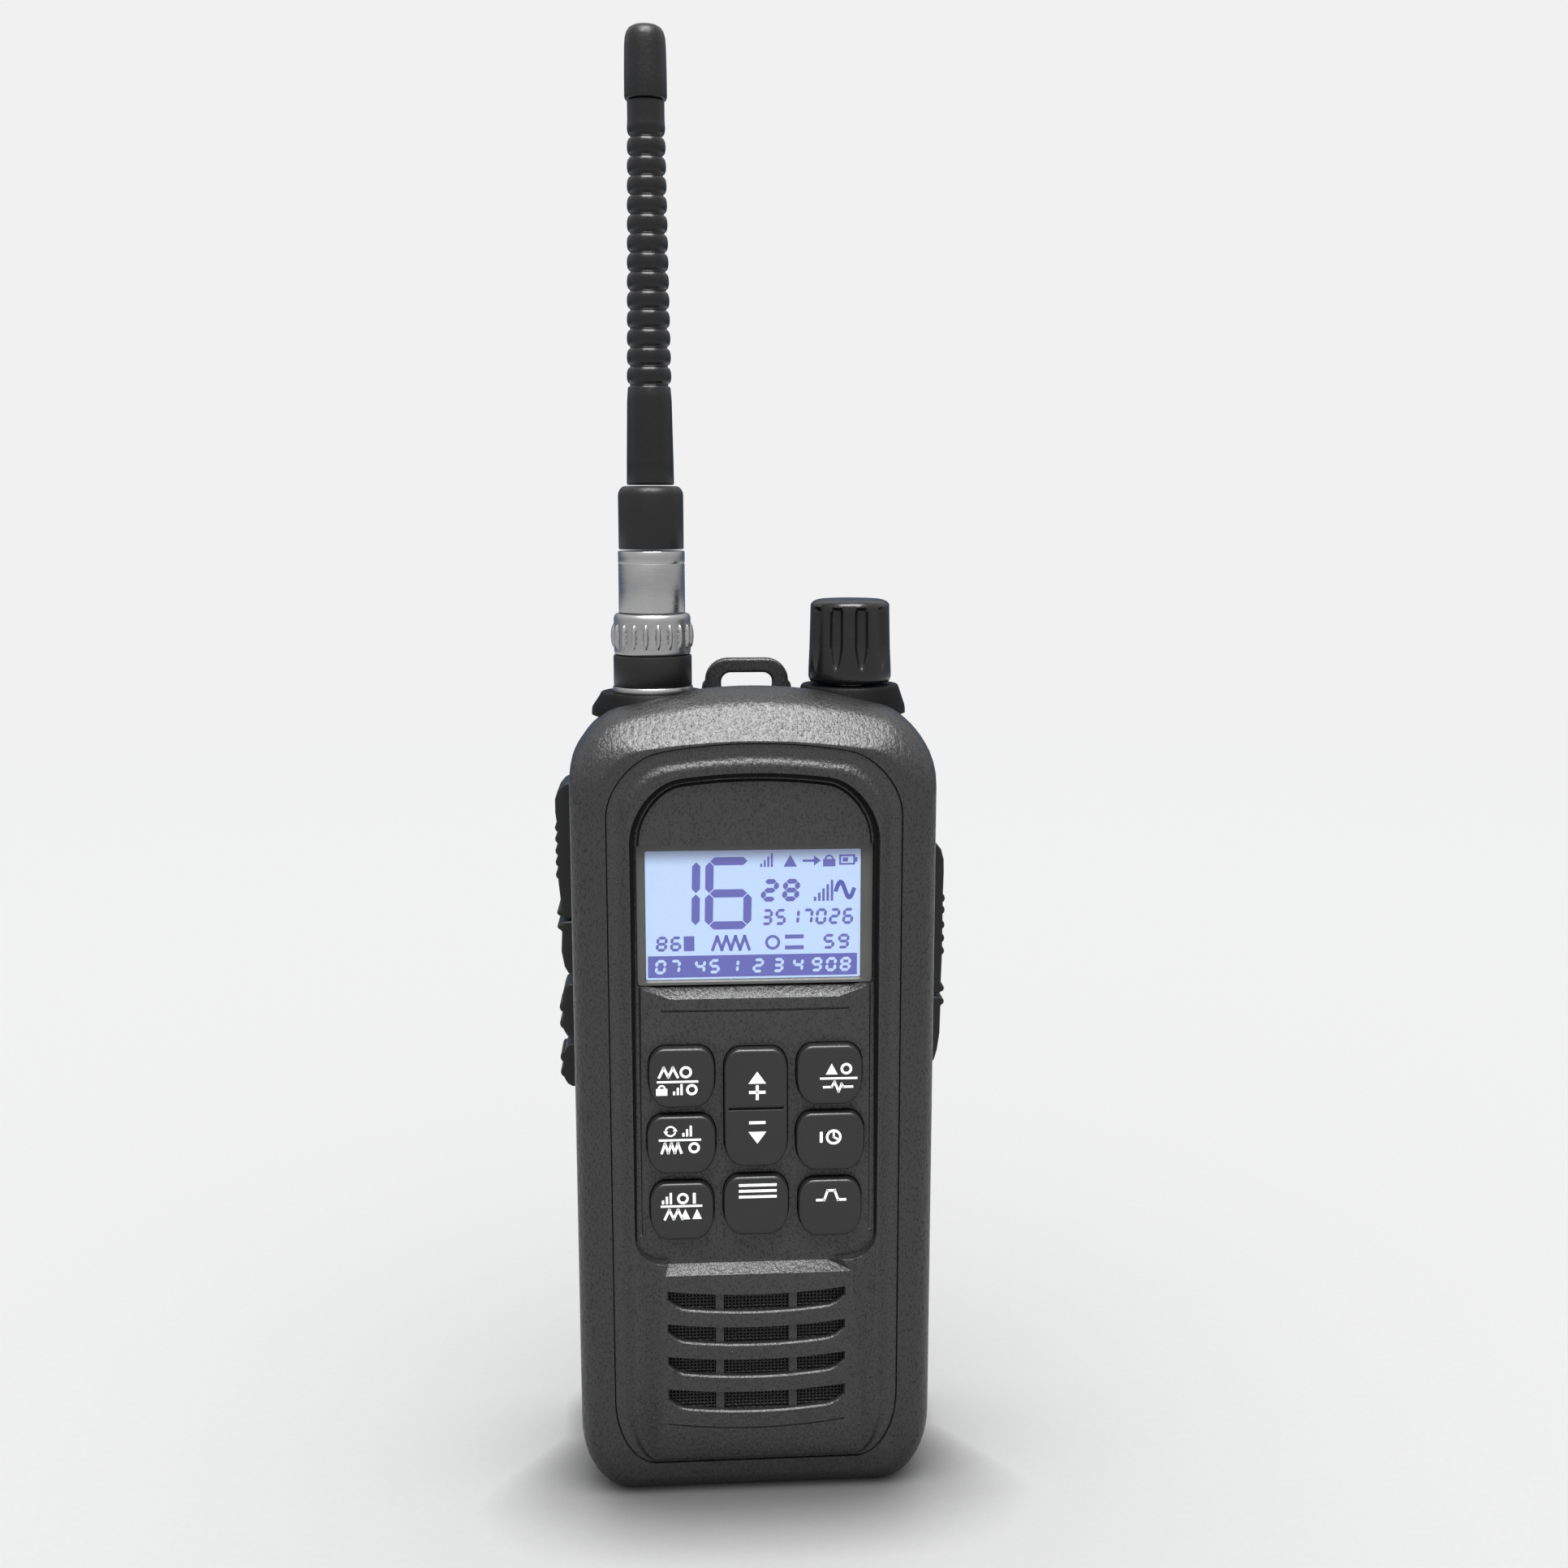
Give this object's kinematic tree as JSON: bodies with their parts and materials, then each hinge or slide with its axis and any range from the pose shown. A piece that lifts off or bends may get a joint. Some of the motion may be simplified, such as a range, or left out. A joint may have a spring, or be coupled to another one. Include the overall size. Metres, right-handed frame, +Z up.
{
  "type": "portable two-way radio",
  "caption": "Upright hand-held two-way radio with a detachable whip antenna, volume knob, lit display, keypad, slotted speaker, side keys, jack cover, slide-out battery pack and belt clip.",
  "frame": {"origin": "centre of the flat underside of the case, on the surface it stands on", "axes": "+Z up along the case and antenna, -Y out of the display and keypad, +X to the right of someone facing the display"},
  "size_m": [0.0678, 0.045, 0.2504],
  "materials": {
    "charcoal_case": "fine moulded grain, satin",
    "black_case": "fine moulded grain, semi-matt",
    "gloss_black": "semi-gloss",
    "key_rubber": "matt silicone with printed pale marks",
    "soft_rubber": "matt",
    "whip_rubber": "semi-gloss moulded",
    "satin_metal": "satin turned",
    "bright_metal": "bright satin",
    "dark_metal": "cast, matt",
    "lcd_bezel": "satin",
    "lcd_lens": "clear",
    "lcd_display": "lit pale blue with violet segments",
    "backlight": "translucent",
    "circuit_board": "solder mask",
    "battery_cell": "film wrapped",
    "paper_cone": "fibrous"
  },
  "bodies": {
    "case": {"front_shell": "charcoal_case", "front_panel": "charcoal_case", "rear_shell": "black_case", "case_seal": "soft_rubber", "antenna_boss": "black_case", "knob_boss": "black_case", "strap_eyelet": "black_case", "case_screw_1": "satin_metal", "case_screw_2": "satin_metal", "lcd_bezel": "lcd_bezel", "lcd_lens": "lcd_lens", "lcd_module": "lcd_display", "backlight": "backlight", "keypad_mat": "key_rubber", "speaker_mesh": "dark_metal", "speaker_frame": "dark_metal", "speaker_cone": "paper_cone", "microphone": "satin_metal", "main_board": "circuit_board", "chassis": "dark_metal", "rf_shield": "satin_metal", "accessory_jacks": "black_case", "volume_pot": "dark_metal", "ptt_foot": "soft_rubber", "ptt_switch": "satin_metal", "side_switch_strip": "satin_metal", "jack_cover_foot": "soft_rubber", "antenna_jack": "satin_metal", "jack_boot": "soft_rubber", "battery_contact_neg": "bright_metal", "battery_contact_pos": "bright_metal"},
    "volume_knob": {"volume_knob": "gloss_black", "volume_shaft": "satin_metal"},
    "antenna": {"antenna_ferrule": "satin_metal", "antenna_pin": "bright_metal", "antenna_collar": "gloss_black", "antenna_whip": "whip_rubber", "antenna_tip": "gloss_black"},
    "coupling_nut": {"coupling_nut": "bright_metal"},
    "ptt_lever": {"ptt_lever": "soft_rubber"},
    "side_key_upper": {"side_key_upper": "soft_rubber"},
    "side_key_lower": {"side_key_lower": "soft_rubber"},
    "jack_cover": {"jack_cover": "soft_rubber"},
    "battery_pack": {"battery_case": "black_case", "battery_lid": "black_case", "battery_cell_left": "battery_cell", "battery_cell_right": "battery_cell", "clip_bracket": "black_case", "clip_pin": "satin_metal", "clip_spring": "bright_metal"},
    "battery_latch": {"battery_latch": "black_case"},
    "belt_clip": {"belt_clip": "black_case"},
    "channel_rocker": {"channel_rocker": "key_rubber"},
    "key_lock": {"key_lock": "key_rubber"},
    "key_scan": {"key_scan": "key_rubber"},
    "key_mode": {"key_mode": "key_rubber"},
    "key_menu": {"key_menu": "key_rubber"},
    "key_squelch": {"key_squelch": "key_rubber"},
    "key_watch": {"key_watch": "key_rubber"},
    "key_filter": {"key_filter": "key_rubber"}
  },
  "joints": [
    {"name": "volume_turn", "type": "hinge", "parent": "case", "child": "volume_knob", "pos_m": [0.0177, 0.002, 0.142], "axis": [0, 0, -1], "range_deg": [0, 300]},
    {"name": "antenna_lift", "type": "slide", "parent": "case", "child": "antenna", "axis": [0, 0, 1], "range_m": [0, 0.03]},
    {"name": "coupling_nut_turn", "type": "hinge", "parent": "antenna", "child": "coupling_nut", "pos_m": [-0.0168, 0.002, 0.151], "axis": [0, 0, -1], "range_deg": [0, 90]},
    {"name": "ptt_press", "type": "hinge", "parent": "case", "child": "ptt_lever", "pos_m": [-0.0305, -0.001, 0.10165], "axis": [0, 1, 0], "range_deg": [0, 2.4], "stiffness_Nm_per_rad": 0.6},
    {"name": "side_key_upper_press", "type": "slide", "parent": "case", "child": "side_key_upper", "axis": [1, 0, 0], "range_m": [0, 0.0008], "stiffness_N_per_m": 500},
    {"name": "side_key_lower_press", "type": "slide", "parent": "case", "child": "side_key_lower", "axis": [1, 0, 0], "range_m": [0, 0.0008], "stiffness_N_per_m": 500},
    {"name": "jack_cover_open", "type": "hinge", "parent": "case", "child": "jack_cover", "pos_m": [0.0339, -0.001, 0.087], "axis": [0, 1, 0], "range_deg": [0, 100]},
    {"name": "battery_pack_slide", "type": "slide", "parent": "case", "child": "battery_pack", "axis": [0, 1, 0], "range_m": [0, 0.025]},
    {"name": "battery_latch_slide", "type": "slide", "parent": "battery_pack", "child": "battery_latch", "axis": [0, 0, 1], "range_m": [0, 0.0028], "stiffness_N_per_m": 300},
    {"name": "belt_clip_open", "type": "hinge", "parent": "battery_pack", "child": "belt_clip", "pos_m": [0, 0.0222, 0.092], "axis": [1, 0, 0], "range_deg": [0, 12], "stiffness_Nm_per_rad": 0.8},
    {"name": "channel_rocker_tilt", "type": "hinge", "parent": "case", "child": "channel_rocker", "pos_m": [0, -0.0155, 0.07115], "axis": [1, 0, 0], "range_deg": [-2.5, 2.5], "stiffness_Nm_per_rad": 0.3},
    {"name": "key_lock_press", "type": "slide", "parent": "case", "child": "key_lock", "axis": [0, 1, 0], "range_m": [0, 0.0006], "stiffness_N_per_m": 500},
    {"name": "key_scan_press", "type": "slide", "parent": "case", "child": "key_scan", "axis": [0, 1, 0], "range_m": [0, 0.0006], "stiffness_N_per_m": 500},
    {"name": "key_mode_press", "type": "slide", "parent": "case", "child": "key_mode", "axis": [0, 1, 0], "range_m": [0, 0.0006], "stiffness_N_per_m": 500},
    {"name": "key_menu_press", "type": "slide", "parent": "case", "child": "key_menu", "axis": [0, 1, 0], "range_m": [0, 0.0006], "stiffness_N_per_m": 500},
    {"name": "key_squelch_press", "type": "slide", "parent": "case", "child": "key_squelch", "axis": [0, 1, 0], "range_m": [0, 0.0006], "stiffness_N_per_m": 500},
    {"name": "key_watch_press", "type": "slide", "parent": "case", "child": "key_watch", "axis": [0, 1, 0], "range_m": [0, 0.0006], "stiffness_N_per_m": 500},
    {"name": "key_filter_press", "type": "slide", "parent": "case", "child": "key_filter", "axis": [0, 1, 0], "range_m": [0, 0.0006], "stiffness_N_per_m": 500}
  ]
}
